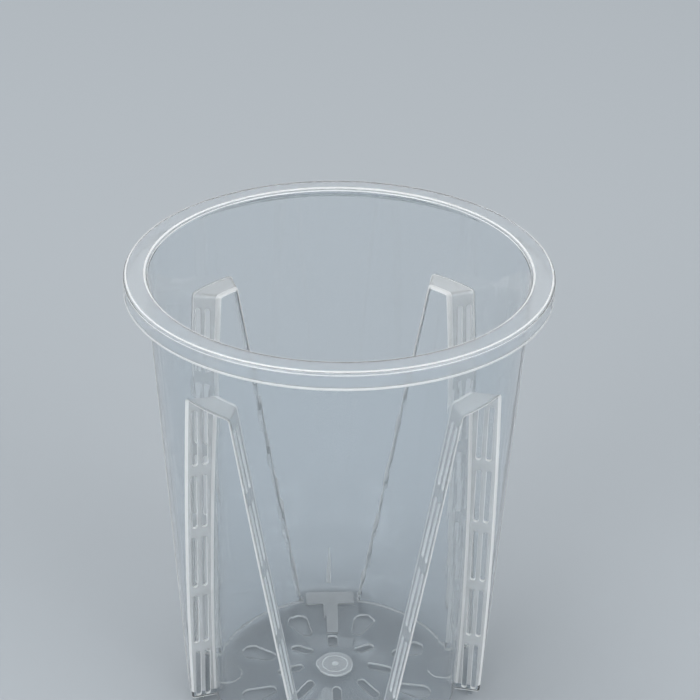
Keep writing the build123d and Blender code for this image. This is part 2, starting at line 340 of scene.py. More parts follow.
class PotForm:
    """Places on the middle surface of the pot's wall, worked out from the sizes.

    A vent's outline is a row of stations, each (across, height, lean): across is 1 on one side wall
    and -1 on the other, lean turns from 0 on the side walls to a right angle on the roof.
    """

    def __init__(self, sizes):
        self.body = sizes.body
        self.vents = sizes.vents
        self.half_wall = sizes.body.wall / 2
        self.base = sizes.body.foot_height
        self.floor = self.base + self.half_wall
        self.slope = math.tan(sizes.body.wall_taper)
        self.leg_pitch = 2 * math.pi / sizes.vents.number
        self.rim_radius = sizes.body.rim_diameter / 2
        top_radius = self.rim_radius - sizes.body.flange_width
        self.base_radius = top_radius - (sizes.body.height - self.base) * self.slope
        self.low = self.floor + sizes.body.toe_round + sizes.body.wall

    def wall_radius(self, height):
        """Outside radius of the tapered wall."""
        return self.base_radius + (height - self.base) * self.slope

    def radius(self, height, depth=0.0):
        """Radius of the wall's middle, or of a surface that lies deeper in a vent."""
        return self.wall_radius(height) - self.half_wall - depth

    def apex(self, height):
        """Where the planes of a vent's two side walls cross on its centre line."""
        flare = self.vents.flare
        roof = self.vents.roof_height
        ends = []
        for end, leg_half in ((self.base, self.vents.leg_half_base), (roof, self.vents.leg_half_roof)):
            angle = self.leg_pitch / 2 - leg_half
            ends.append(self.wall_radius(end) * (math.cos(angle) - math.sin(angle) / math.tan(flare)))
        return ends[0] + (ends[1] - ends[0]) * (height - self.base) / (roof - self.base)

    def side_angle(self, apex, radius):
        """Angle from a vent's centre line to its side wall at a radius."""
        flare = self.vents.flare
        reach = math.sqrt(radius**2 - (apex * math.sin(flare)) ** 2) - apex * math.cos(flare)
        return math.atan2(reach * math.sin(flare), apex + reach * math.cos(flare))

    def vent_edge(self, height, side):
        """Where a side wall's air face leaves the wall's outside, in the vent's frame."""
        radius = self.wall_radius(height)
        return polar(radius, side * self.side_angle(self.apex(height), radius), height)

    def side_axes(self, side):
        """Level directions along a side wall into the pot, and from the wall towards its leg."""
        flare = self.vents.flare
        inward = Vector((-math.cos(flare), -side * math.sin(flare), 0))
        return inward, Vector((-math.sin(flare), side * math.cos(flare), 0))

    def door(self, station, depth, grow):
        """Angle and height of a station on a vent's outline, at a depth, grown outwards."""
        across, height, lean = station
        corner = self.vents.corner_round
        height = height + (corner + grow) * math.sin(lean)
        inset = corner * (1 - math.cos(lean)) - grow * math.cos(lean)
        radius = self.radius(height, depth)
        apex = self.apex(height) - self.half_wall / math.sin(self.vents.flare)
        return across * (self.side_angle(apex, radius) - inset / radius), height

    def door_point(self, centre, station, depth, grow):
        """The same station as a point, for the vent at an angle."""
        angle, height = self.door(station, depth, grow)
        return polar(self.radius(height, depth), centre + angle, height)

    def side_stations(self):
        """Up a side wall and round half of the roof's corner."""
        corner_start = self.vents.roof_height + self.half_wall - self.vents.corner_round
        stations = [(1, height, 0.0) for height in steps(self.low, corner_start, SIDE_ROWS)]
        leans = steps(0, RIGHT_ANGLE / 2, ROUND_STEPS // 2)[1:]
        return stations + [(1, corner_start, lean) for lean in leans]

    def roof_stations(self):
        """From the middle of one roof corner to the middle of the other."""
        corner_start = self.vents.roof_height + self.half_wall - self.vents.corner_round
        leans = steps(RIGHT_ANGLE / 2, RIGHT_ANGLE, ROUND_STEPS // 2)
        corner = [(1, corner_start, lean) for lean in leans]
        roof = [(across, corner_start, RIGHT_ANGLE) for across in steps(1, -1, ROOF_COLUMNS)[1:-1]]
        return corner + roof + [(-across, height, lean) for across, height, lean in reversed(corner)]

    def band(self):
        """Steps from the wall round a vent's mouth, along its side and round to its back: (grow, depth)."""
        mouth = self.vents.mouth_round
        back = self.vents.back_round
        depth = self.vents.depth
        turns = steps(0, RIGHT_ANGLE, ROUND_STEPS)
        into = [(mouth * (1 - math.sin(a)), mouth * (1 - math.cos(a))) for a in turns]
        along = [(0.0, d) for d in steps(mouth, depth - back - CREASE_LINE, DEPTH_COLUMNS)[1:]]
        turns = steps(0, RIGHT_ANGLE, CREASE_STEPS)
        behind = [(-back * (1 - math.cos(a)), depth - back * (1 - math.sin(a))) for a in turns]
        return into + along + behind

    def leg_row(self, leg_angle, station):
        """A row of points across a leg."""
        angle, height = self.door(station, 0.0, self.vents.mouth_round)
        half = self.leg_pitch / 2 - abs(angle)
        radius = self.radius(height)
        return [polar(radius, leg_angle + half * u, height) for u in steps(-1, 1, LEG_COLUMNS)]


def add_patch(mesh, rows, finishes=None):
    """Quads between rows of points, with a finish for each step along a row."""
    finishes = finishes or [WALL] * (len(rows[0]) - 1)
    grid = [[mesh.verts.new(point) for point in row] for row in rows]
    for low, high in zip(grid, grid[1:]):
        for finish, *corners in zip(finishes, low, low[1:], high[1:], high):
            mesh.faces.new(corners).material_index = finish


def add_vent(mesh, form, centre):
    """A vent's side walls, roof and back wall, and the leg on its clockwise side."""
    sides = form.side_stations()
    roof = form.roof_stations()
    band = form.band()
    other_side = [(-across, height, lean) for across, height, lean in reversed(sides)]
    outline = sides + roof[1:-1] + other_side
    rows = [[form.door_point(centre, s, depth, grow) for grow, depth in band] for s in outline]
    # Painted light: the mouth's bend and the back crease take the white edge finish as a painted glow,
    # and the side walls and roof between take the whiter finish for the light their haze scatters
    mouth = [EDGE] * (ROUND_STEPS - 1) + [PAINTED_GLANCING_LIGHT]
    crease = [EDGE] * CREASE_STEPS + [WALL]
    add_patch(mesh, rows, mouth + [PAINTED_GLANCING_LIGHT] * DEPTH_COLUMNS + crease)
    grow, depth = band[-1]
    back_rows = []
    for _, height, lean in sides[:-1]:
        row = [(across, height, lean) for across in back_shares(form)]
        back_rows.append([form.door_point(centre, s, depth, grow) for s in row])
    back_rows.append([form.door_point(centre, s, depth, grow) for s in roof])
    add_patch(mesh, back_rows)
    leg_angle = centre - form.leg_pitch / 2
    add_patch(mesh, [form.leg_row(leg_angle, station) for station in sides])


def back_shares(form):
    """How far across the back wall each of its columns stands, from 1 to -1."""
    grow, depth = form.band()[-1]
    angles = [form.door(station, depth, grow)[0] for station in form.roof_stations()]
    return [angle / angles[0] for angle in angles]


def add_upper_wall_and_rim(mesh, form, centres):
    """The closed band over the vents, the mouth's bend, the flange and the skirt."""
    foot = []
    for centre in centres:
        foot += form.leg_row(centre - form.leg_pitch / 2, form.side_stations()[-1])[:-1]
        roof = form.roof_stations()[:0:-1]
        foot += [form.door_point(centre, station, 0.0, form.vents.mouth_round) for station in roof]
    foot.append(foot[0])
    body = form.body
    flange = body.height - form.half_wall
    wall_end = flange - body.mouth_round
    skirt = form.rim_radius - form.half_wall
    inner = form.radius(wall_end) + body.mouth_round
    turns = steps(0, RIGHT_ANGLE, RIM_STEPS)[1:]
    bend = body.mouth_round
    profile = [(inner - bend * math.cos(a), wall_end + bend * math.sin(a)) for a in turns]
    outer = skirt - body.edge_round
    profile += [(r, flange) for r in steps(inner, outer, FLANGE_STEPS)[1:]]
    edge = flange - body.edge_round
    bend = body.edge_round
    profile += [(outer + bend * math.sin(a), edge + bend * math.cos(a)) for a in turns]
    skirt_end = body.height - body.skirt_height
    profile += [(skirt, z) for z in steps(edge, skirt_end + SKIRT_LINE, SKIRT_STEPS)[1:] + [skirt_end]]
    columns = []
    for point in foot:
        angle = math.atan2(point.y, point.x)
        column = [polar(form.radius(z), angle, z) for z in steps(point.z, wall_end, UPPER_ROWS)]
        columns.append(column + [polar(radius, angle, z) for radius, z in profile])
    # Each bend has a broad and a fine white line, painted highlights in the white edge finish, between
    # bands of the rim's painted light
    mouth = [WALL, WALL, EDGE, PAINTED_RIM_LIGHT, PAINTED_RIM_LIGHT, EDGE, EDGE, PAINTED_RIM_LIGHT]
    brink = [PAINTED_RIM_LIGHT, EDGE, EDGE, PAINTED_RIM_LIGHT, PAINTED_RIM_LIGHT, PAINTED_RIM_LIGHT, EDGE, PAINTED_RIM_LIGHT]
    finishes = [WALL] * UPPER_ROWS + mouth + [PAINTED_RIM_LIGHT] * FLANGE_STEPS + brink
    add_patch(mesh, columns, finishes + [PAINTED_RIM_LIGHT] * SKIRT_STEPS + [EDGE])


def floor_columns(form, centres):
    """Round the pot: each column of wall as (point at a height, angle on the floor, bend, finish)."""
    band = form.band()
    bend = form.body.floor_round
    toe_growth = form.body.toe_round - bend
    half_pitch = form.leg_pitch / 2
    fans = steps(LEG_FAN, SIDE_FAN, len(band) - 1)
    columns = []
    for centre in centres:
        leg_angle = centre - half_pitch
        for i, u in enumerate(steps(-1, 1, LEG_COLUMNS)[:-1]):
            reach = min(1, (1 - abs(u)) / TOE_SHARE)
            toe = bend + toe_growth * reach**2 * (3 - 2 * reach)
            at = lambda z, i=i, leg_angle=leg_angle: form.leg_row(leg_angle, (1, z, 0.0))[i]
            columns.append((at, leg_angle + u * LEG_FAN, toe, WALL))
        around = [(-1, b, fan - half_pitch) for b, fan in zip(band, fans)]
        around += [(-s, band[-1], -s * (half_pitch - SIDE_FAN)) for s in back_shares(form)[1:-1]]
        around += [(1, b, half_pitch - fan) for b, fan in reversed(list(zip(band, fans)))][:-1]
        for across, (grow, depth), fan in around:
            at = lambda z, c=centre, a=across, d=depth, g=grow: form.door_point(c, (a, z, 0.0), d, g)
            # The vents' walls bend into the floor in the white edge finish, a painted glow
            columns.append((at, centre + fan, bend, EDGE))
    return columns


def add_floor(mesh, form, floor, centres):
    """The walls' bends into the floor, the lobed floor and the drain cone in its middle."""
    columns = floor_columns(form, centres)
    outline = [at(form.floor) for at, *_ in columns]
    ring_radius = floor.petal_outer_place + floor.petal_outer_radius + PETAL_MARGIN
    cone_slope = floor.cone_rise / (floor.cone_radius - floor.cone_flat_radius)
    slope = steps(floor.cone_radius - CONE_SOFT, floor.cone_flat_radius + CONE_SOFT, FLOOR_ROWS)
    rings = [(r, 0.0) for r in steps(ring_radius, floor.cone_radius + CONE_SOFT, FLOOR_ROWS)[1:]]
    rings += [(r, (floor.cone_radius - r) * cone_slope) for r in slope]
    rings += [(r, floor.cone_rise) for r in steps(floor.cone_flat_radius - CONE_SOFT, 0.0, HUB_ROWS)]
    rows = []
    for i, (at, fan, bend, _) in enumerate(columns):
        along = outline[(i + 1) % len(outline)] - outline[i - 1]
        inwards = Vector((-along.y, along.x, 0)).normalized()
        row = [at(form.low)]
        for a in steps(0, RIGHT_ANGLE, ROUND_STEPS):
            point = at(form.floor + bend) + inwards * bend * (1 - math.cos(a))
            point.z = form.floor + bend * (1 - math.sin(a))
            row.append(point)
        ring_point = polar(ring_radius, fan, form.floor)
        row += [row[-1].lerp(ring_point, s) for s in steps(0, 1, FLOOR_ROWS)[1:]]
        row += [polar(radius, fan, form.floor + rise) for radius, rise in rings]
        rows.append(row)
    for column, row, next_row in zip(columns, rows, rows[1:] + rows[:1]):
        flat = [WALL] * (len(row) - 2 - ROUND_STEPS)
        add_patch(mesh, [row, next_row], [WALL] + [column[-1]] * ROUND_STEPS + flat)


def new_object(name, mesh, materials=()):
    """An object at the origin with a mesh, or with what a bmesh holds."""
    if isinstance(mesh, bmesh.types.BMesh):
        data = bpy.data.meshes.new(name)
        mesh.to_mesh(data)
        mesh.free()
        mesh = data
    obj = bpy.data.objects.new(name, mesh)
    bpy.context.scene.collection.objects.link(obj)
    for material in materials:
        mesh.materials.append(material)
    return obj


def bake(obj):
    """Turns what an object's modifiers make into its own plain mesh."""
    bpy.context.view_layer.update()
    evaluated = obj.evaluated_get(bpy.context.evaluated_depsgraph_get())
    mesh = bpy.data.meshes.new_from_object(evaluated)
    old = obj.data
    obj.modifiers.clear()
    obj.data = mesh
    if old.users == 0:
        bpy.data.meshes.remove(old)


def volume(obj):
    """How much space a closed mesh holds."""
    mesh = bmesh.new()
    mesh.from_mesh(obj.data)
    held = mesh.calc_volume(signed=True)
    mesh.free()
    return held


def combine(shell, tool, operation):
    """Cuts a tool out of the shell, or joins it to the shell, and removes the tool."""
    modifier = shell.modifiers.new(operation, "BOOLEAN")
    modifier.operation = operation
    modifier.solver = "MANIFOLD"
    modifier.object = tool
    modifier.material_mode = "INDEX"
    before = volume(shell)
    bake(shell)
    growth = volume(shell) - before
    if growth == 0 or (growth > 0) != (operation == "UNION"):
        raise RuntimeError(f"{operation} with {tool.name} failed")
    bpy.data.objects.remove(tool)


def shell_object():
    """The pot's shell, which the body's operator has made."""
    shell = bpy.data.objects.get(SHELL)
    if shell is None:
        raise RuntimeError("build the pot's body first")
    return shell


def add_node(tree, kind, inputs=(), **settings):
    """Adds a node with its settings. An input is a node or socket to link, or a value to set."""
    node = tree.nodes.new(kind)
    for name, value in settings.items():
        setattr(node, name, value)
    pairs = inputs.items() if isinstance(inputs, dict) else enumerate(inputs)
    for name, value in pairs:
        if isinstance(value, bpy.types.Node):
            value = value.outputs[0]
        if isinstance(value, bpy.types.NodeSocket):
            tree.links.new(value, node.inputs[name])
        else:
            node.inputs[name].default_value = value
    return node


def new_tree(name, *inputs):
    """A geometry node tree with inputs listed by kind: the tree, its input sockets and what adds nodes."""
    tree = bpy.data.node_groups.new(name, "GeometryNodeTree")
    for kind, labels in (item for group in inputs for item in group.items()):
        for label in labels:
            tree.interface.new_socket(label, in_out="INPUT", socket_type="NodeSocket" + kind)
    tree.interface.new_socket("Geometry", in_out="OUTPUT", socket_type="NodeSocketGeometry")
    return tree, tree.nodes.new("NodeGroupInput").outputs, partial(add_node, tree)


def node_object(name, tree, values, finishes, finish):
    """An object that a geometry node tree makes from the values of its inputs, with the shell's slots."""
    obj = new_object(name, bpy.data.meshes.new(name))
    modifier = obj.modifiers.new(tree.name, "NODES")
    modifier.node_group = tree
    sockets = {s.name: s.identifier for s in tree.interface.items_tree if s.in_out == "INPUT"}
    for label, value in {**values, "Material": finishes[finish]}.items():
        modifier[sockets[label]] = value
    bake(obj)
    if not obj.data.polygons:
        raise RuntimeError(f"{tree.name} made nothing")
    obj.data.materials.clear()
    for material in finishes:
        obj.data.materials.append(material)
    for polygon in obj.data.polygons:
        polygon.material_index = finish
    return obj


MATH = "ShaderNodeMath"

# Inputs of the geometry node trees, by their kind
HOLE_INPUTS = {
    "Int": ["Steps"],
    "Float": ["Near end", "Far end", "Near radius", "Far radius", "Half wall", "Edge round"],
}
HOLE_LABELS = HOLE_INPUTS["Int"] + HOLE_INPUTS["Float"]
ROUND_INPUTS = {"Int": ["Number"], "Float": ["First turn"], "Material": ["Material"]}
DRAIN_INPUTS = {"Vector": ["Place", "Tilt"]}
SLOT_INPUTS = {
    "Int": ["Rows", "Columns"],
    "Float": ["Rows span", "Columns span", "Rows middle", "Columns middle", "Edge length", "Edge bow"],
    "Vector": ["Left place", "Left turn", "Right place", "Right turn"],
}
FOOT_INPUTS = {"Float": ["Diameter", "Height"], "Vector": ["Left place", "Right place"]}


def hole_tree():
    """One hole's cutter: the hull of two rounds, flared at both faces of the wall to round its edges."""
    tree, given, add = new_tree("Hole cutter", HOLE_INPUTS)
    levels = 7
    last_turn = math.radians(85)
    sunk = 0.75
    sides = {"Vertices": given["Steps"], "Side Segments": levels, "Depth": 2.0}
    barrel = add("GeometryNodeMeshCylinder", sides)
    place = add("GeometryNodeInputPosition")
    axes = add("ShaderNodeSeparateXYZ", [place]).outputs
    far = add("FunctionNodeCompare", [axes["X"], 0.0], operation="GREATER_THAN")
    own = {}
    for what in ("end", "radius"):
        choice = {"Switch": far, "False": given["Near " + what], "True": given["Far " + what]}
        own[what] = add("GeometryNodeSwitch", choice, input_type="FLOAT")
    level = add(MATH, [axes["Z"]], operation="ABSOLUTE")
    span = {"Value": level, "From Min": 1 / levels, "From Max": 1.0, "To Min": 0.0, "To Max": last_turn}
    bend = add("ShaderNodeMapRange", span)
    cosine = add(MATH, [bend], operation="COSINE")
    opening = add(MATH, [1.0, cosine], operation="SUBTRACT")
    widened = [opening, given["Edge round"], own["radius"]]
    grown = add(MATH, widened, operation="MULTIPLY_ADD")
    sine = add(MATH, [bend], operation="SINE")
    raised = add(MATH, [sine, sunk], operation="SUBTRACT")
    deepened = [raised, given["Edge round"], given["Half wall"]]
    deep = add(MATH, deepened, operation="MULTIPLY_ADD")
    face = add(MATH, [axes["Z"]], operation="SIGN")
    depth = add(MATH, [deep, face], operation="MULTIPLY")
    along = add(MATH, [axes["X"], grown, own["end"]], operation="MULTIPLY_ADD")
    across = add(MATH, [axes["Y"], grown], operation="MULTIPLY")
    moved = add("ShaderNodeCombineXYZ", [along, across, depth])
    shaped = add("GeometryNodeSetPosition", {"Geometry": barrel, "Position": moved})
    add("NodeGroupOutput", {"Geometry": shaped})
    return tree


def add_round(add, geometry, given):
    """Nodes that repeat geometry round the pot's axis, then realize it and give it its material."""
    number = given["Number"]
    spots = add("GeometryNodeMeshLine", {"Count": number, "Offset": (0.0, 0.0, 0.0)})
    index = add("GeometryNodeInputIndex")
    pitch = add(MATH, [2 * math.pi, number], operation="DIVIDE")
    angle = add(MATH, [index, pitch, given["First turn"]], operation="MULTIPLY_ADD")
    turned = add("ShaderNodeCombineXYZ", {"Z": angle})
    spread = {"Points": spots, "Instance": geometry, "Rotation": turned}
    ring = add("GeometryNodeInstanceOnPoints", spread)
    real = add("GeometryNodeRealizeInstances", {"Geometry": ring})
    painted = add("GeometryNodeSetMaterial", {"Geometry": real, "Material": given["Material"]})
    add("NodeGroupOutput", {"Geometry": painted})


def drain_hole_tree(hole):
    """A ring of holes in the floor."""
    tree, given, add = new_tree("Ring of drain holes", ROUND_INPUTS, DRAIN_INPUTS, HOLE_INPUTS)
    passed = {label: given[label] for label in HOLE_LABELS}
    cutter = add("GeometryNodeGroup", passed, node_tree=hole)
    spot = {"Geometry": cutter, "Translation": given["Place"], "Rotation": given["Tilt"]}
    add_round(add, add("GeometryNodeTransform", spot), given)
    return tree


def vent_slot_tree(hole):
    """Rows and columns of slots on the two side walls of every vent."""
    tree, given, add = new_tree("Vent slots", ROUND_INPUTS, SLOT_INPUTS, HOLE_INPUTS)
    passed = {label: given[label] for label in HOLE_LABELS}
    cutter = add("GeometryNodeGroup", passed, node_tree=hole)
    spread = {
        "Size X": given["Rows span"],
        "Size Y": given["Columns span"],
        "Vertices X": given["Rows"],
        "Vertices Y": given["Columns"],
    }
    grid = add("GeometryNodeMeshGrid", spread)
    place = add("GeometryNodeInputPosition")
    axes = add("ShaderNodeSeparateXYZ", [place]).outputs
    up = add(MATH, [axes["X"], given["Rows middle"]])
    part = add(MATH, [up, given["Edge length"]], operation="DIVIDE")
    rest = add(MATH, [1.0, part], operation="SUBTRACT")
    # Four times part times rest is a bow that is 1 halfway up the wall
    arch = add(MATH, [part, rest], operation="MULTIPLY")
    bow = add(MATH, [4.0, given["Edge bow"]], operation="MULTIPLY")
    shift = add(MATH, [arch, bow, given["Columns middle"]], operation="MULTIPLY_ADD")
    offset = add("ShaderNodeCombineXYZ", [given["Rows middle"], shift])
    spots = add("GeometryNodeSetPosition", {"Geometry": grid, "Offset": offset})
    slots = add("GeometryNodeInstanceOnPoints", {"Points": spots, "Instance": cutter})
    both = add("GeometryNodeJoinGeometry")
    for side in ("Left", "Right"):
        spot = {"Geometry": slots, "Translation": given[side + " place"], "Rotation": given[side + " turn"]}
        tree.links.new(add("GeometryNodeTransform", spot).outputs[0], both.inputs[0])
    add_round(add, both, given)
    return tree


def foot_tree():
    """Pairs of small round feet with softly rounded ends, under every vent's side walls."""
    tree, given, add = new_tree("Feet", ROUND_INPUTS, FOOT_INPUTS)
    worn_off = 0.45
    rounded_share = 0.5
    roundness = 3.0
    radius = add(MATH, [given["Diameter"], 0.5], operation="MULTIPLY")
    sides = {"Vertices": FOOT_STEPS, "Side Segments": FOOT_ROWS, "Radius": radius, "Depth": given["Height"]}
    stud = add("GeometryNodeMeshCylinder", sides)
    place = add("GeometryNodeInputPosition")
    axes = add("ShaderNodeSeparateXYZ", [place]).outputs
    part = add(MATH, [axes["Z"], given["Height"]], operation="DIVIDE")
    span = {"Value": part, "From Min": -0.5, "From Max": rounded_share - 0.5, "To Min": 1.0, "To Max": 0.0}
    from_tip = add("ShaderNodeMapRange", span)
    curve = add(MATH, [from_tip, roundness], operation="POWER")
    narrowed = add(MATH, [curve, -worn_off, 1.0], operation="MULTIPLY_ADD")
    across = add("ShaderNodeCombineXYZ", [narrowed, narrowed, 1.0])
    moved = add("ShaderNodeVectorMath", [place, across], operation="MULTIPLY")
    shaped = add("GeometryNodeSetPosition", {"Geometry": stud, "Position": moved})
    both = add("GeometryNodeJoinGeometry")
    for side in ("Left", "Right"):
        spot = {"Geometry": shaped, "Translation": given[side + " place"]}
        tree.links.new(add("GeometryNodeTransform", spot).outputs[0], both.inputs[0])
    add_round(add, both, given)
    return tree


def clear_polypropylene(name, clarity, sheen, sheen_width, plastic):
    """Clear polypropylene, injection moulded in a polished mould, in one of its finishes.

    It is glossy and clear with a faint blue-grey haze, and long shallow flow marks run up the wall
    where the melt filled the mould, which break up the reflections a little. The plastic is the same
    all over, and the finishes with less clarity are painted light. Rounded edges look white, a painted
    glow for the light that has run along inside the wall and comes out there, and the rim and the
    vents' side walls lie between, painted for the light that their haze scatters. A sheen whitens
    them all at a glancing angle.
    """
    material = bpy.data.materials.new(name)
    material.use_nodes = True
    tree = material.node_tree
    add = partial(add_node, tree)
    shader = tree.nodes["Principled BSDF"]
    plain = {
        "Base Color": plastic.tint,
        "IOR": plastic.refraction,
        "Transmission Weight": clarity,
        "Sheen Weight": sheen,
        "Sheen Roughness": sheen_width,
        "Subsurface Weight": 1.0,
        "Subsurface Radius": (1.0, 1.0, 1.0),
        "Subsurface Scale": plastic.scatter_reach,
    }
    for socket, value in plain.items():
        shader.inputs[socket].default_value = value
    where = add("ShaderNodeTexCoord").outputs["Object"]
    across = 1 / plastic.mark_width
    along = 1 / plastic.mark_length
    stretched = add("ShaderNodeMapping", {"Vector": where, "Scale": (across, across, along)})
    marks = add("ShaderNodeTexNoise", {"Vector": stretched, "Scale": 1.0, "Detail": 2.0})
    span = {
        "Value": marks,
        "From Min": MARK_LOW,
        "From Max": MARK_HIGH,
        "To Min": plastic.gloss_low,
        "To Max": plastic.gloss_high,
    }
    gloss = add("ShaderNodeMapRange", span)
    waves = {"Height": marks, "Strength": 1.0, "Distance": plastic.mark_depth}
    relief = add("ShaderNodeBump", waves)
    tree.links.new(gloss.outputs[0], shader.inputs["Roughness"])
    tree.links.new(relief.outputs[0], shader.inputs["Normal"])
    return material


def floor_paper(tint):
    """Matt studio paper: an even pale sheet with no shine."""
    material = bpy.data.materials.new("matt_studio_paper")
    material.use_nodes = True
    shader = material.node_tree.nodes["Principled BSDF"]
    shader.inputs["Base Color"].default_value = tint
    shader.inputs["Roughness"].default_value = 0.95
    shader.inputs["Specular IOR Level"].default_value = 0.1
    return material


def plastic_finishes(sizes):
    """The plastic's finishes, made once, from the clear wall to the white edges; all but the wall are
    painted light.
    """
    plastic = sizes.plastic
    clear = (plastic.clear_sheen, plastic.clear_sheen_width)
    milky = (plastic.painted_light_sheen, plastic.painted_light_sheen_width)
    kinds = (
        ("clear_polypropylene_wall", plastic.wall_clarity, *clear),
        ("clear_polypropylene_painted_rim_light", plastic.painted_rim_light_clarity, *clear),
        ("clear_polypropylene_painted_glancing_light", plastic.painted_glancing_light_clarity, *milky),
        ("clear_polypropylene_painted_edge_glow", plastic.painted_edge_glow_clarity, *milky),
    )
    return [bpy.data.materials.get(kind[0]) or clear_polypropylene(*kind, plastic) for kind in kinds]


def vent_centres(form):
    """Angles of the vents' centre lines."""
    return [form.leg_pitch * (k + 0.5) for k in range(form.vents.number)]


class POT_OT_stage(bpy.types.Operator):
    """Lay the pale floor, hang the soft lamps and place the camera at the photograph's angle"""

    bl_idname = "orchid_pot.stage"
    bl_label = "Studio"

    def execute(self, context):
        scene = context.scene
        studio = scene.orchid_pot.studio
        scene.view_settings.view_transform = "Standard"
        scene.cycles.max_bounces = CLEAR_BOUNCES
        scene.cycles.transmission_bounces = CLEAR_BOUNCES
        scene.cycles.glossy_bounces = GLOSS_BOUNCES
        mesh = bmesh.new()
        far = FLOOR_HALF
        corners = ((-far, -far, 0), (far, -far, 0), (far, far, 0), (-far, far, 0))
        mesh.faces.new([mesh.verts.new(corner) for corner in corners])
        floor = new_object("studio_floor", mesh, [floor_paper(studio.floor_colour)])
        world = bpy.data.worlds.new("studio_world")
        world.use_nodes = True
        background = world.node_tree.nodes["Background"]
        background.inputs["Color"].default_value = studio.world_colour
        background.inputs["Strength"].default_value = studio.world_light
        scene.world = world
        for name, place, size, watts in LAMPS:
            lamp = bpy.data.lights.new(name, "AREA")
            lamp.shape = "RECTANGLE"
            lamp.size, lamp.size_y = size
            lamp.energy = watts
            self.soften(lamp)
            lamp_object = bpy.data.objects.new(name, lamp)
            scene.collection.objects.link(lamp_object)
            lamp_object.location = place
            lamp_object.rotation_euler = (LAMP_AIM - Vector(place)).to_track_quat("-Z", "Y").to_euler()
            lamp_object.visible_camera = False
        self.place_camera(scene, studio)
        return {"FINISHED"}

    def soften(self, lamp):
        """Lets a softbox fall off towards its edges, so that its reflections have no hard border."""
        lamp.use_nodes = True
        tree = lamp.node_tree
        add = partial(add_node, tree)
        spot = add("ShaderNodeNewGeometry").outputs["Parametric"]
        axes = add("ShaderNodeSeparateXYZ", [spot]).outputs
        sides = []
        for axis in ("X", "Y"):
            rest = add(MATH, [1.0, axes[axis]], operation="SUBTRACT")
            sides.append(add(MATH, [axes[axis], rest], operation="MULTIPLY"))
        dome = add(MATH, sides, operation="MULTIPLY")
        # The dome's mean is a 36th, so this leaves the lamp its watts
        full = 36.0
        level = add(MATH, [dome, full], operation="MULTIPLY")
        tree.links.new(level.outputs[0], tree.nodes["Emission"].inputs["Strength"])

    def place_camera(self, scene, studio):
        """A long lens looking down at the pot, as the photograph was taken."""
        pitch, swing, roll = studio.pitch, studio.swing, studio.roll
        flat = math.cos(pitch)
        back = Vector((math.sin(swing) * flat, -math.cos(swing) * flat, math.sin(pitch)))
        level = Vector((math.cos(swing), math.sin(swing), 0))
        above = back.cross(level)
        right = level * math.cos(roll) + above * math.sin(roll)
        up = above * math.cos(roll) - level * math.sin(roll)
        place = Vector((0, 0, studio.aim_height)) + right * studio.aim_side + back * studio.distance
        camera = bpy.data.cameras.new("studio_camera")
        camera.lens = studio.lens
        camera.clip_start = 0.01
        camera_object = bpy.data.objects.new("studio_camera", camera)
        scene.collection.objects.link(camera_object)
        turned = Matrix((right, up, back)).transposed().to_4x4()
        camera_object.matrix_world = Matrix.Translation(place) @ turned
        scene.camera = camera_object


class POT_OT_body(bpy.types.Operator):
    """Build the pot's wall, vents, rim and floor as one continuous shell"""

    bl_idname = "orchid_pot.body"
    bl_label = "Pot body"

    def execute(self, context):
        sizes = context.scene.orchid_pot
        form = PotForm(sizes)
        centres = vent_centres(form)
        mesh = bmesh.new()
        for centre in centres:
            add_vent(mesh, form, centre)
        add_upper_wall_and_rim(mesh, form, centres)
        add_floor(mesh, form, sizes.floor, centres)
        bmesh.ops.remove_doubles(mesh, verts=mesh.verts, dist=WELD)
        bmesh.ops.recalc_face_normals(mesh, faces=mesh.faces)
        open_edges = [edge for edge in mesh.edges if len(edge.link_faces) != 2]
        skirt_end = sizes.body.height - sizes.body.skirt_height
        if any(abs(v.co.z - skirt_end) > WELD for edge in open_edges for v in edge.verts):
            raise RuntimeError("the shell's patches don't meet")
        shell = new_object(SHELL, mesh, plastic_finishes(sizes))
        thick = shell.modifiers.new("Wall", "SOLIDIFY")
        thick.thickness = sizes.body.wall
        thick.offset = 0
        thick.use_even_offset = True
        soft = shell.modifiers.new("Skirt edge", "BEVEL")
        soft.width = SKIRT_EDGE
        soft.segments = 2
        soft.limit_method = "ANGLE"
        soft.angle_limit = math.radians(60)
        # The skirt's rounded lower edge takes the white edge finish, a painted glow
        soft.material = EDGE
        bake(shell)
        return {"FINISHED"}


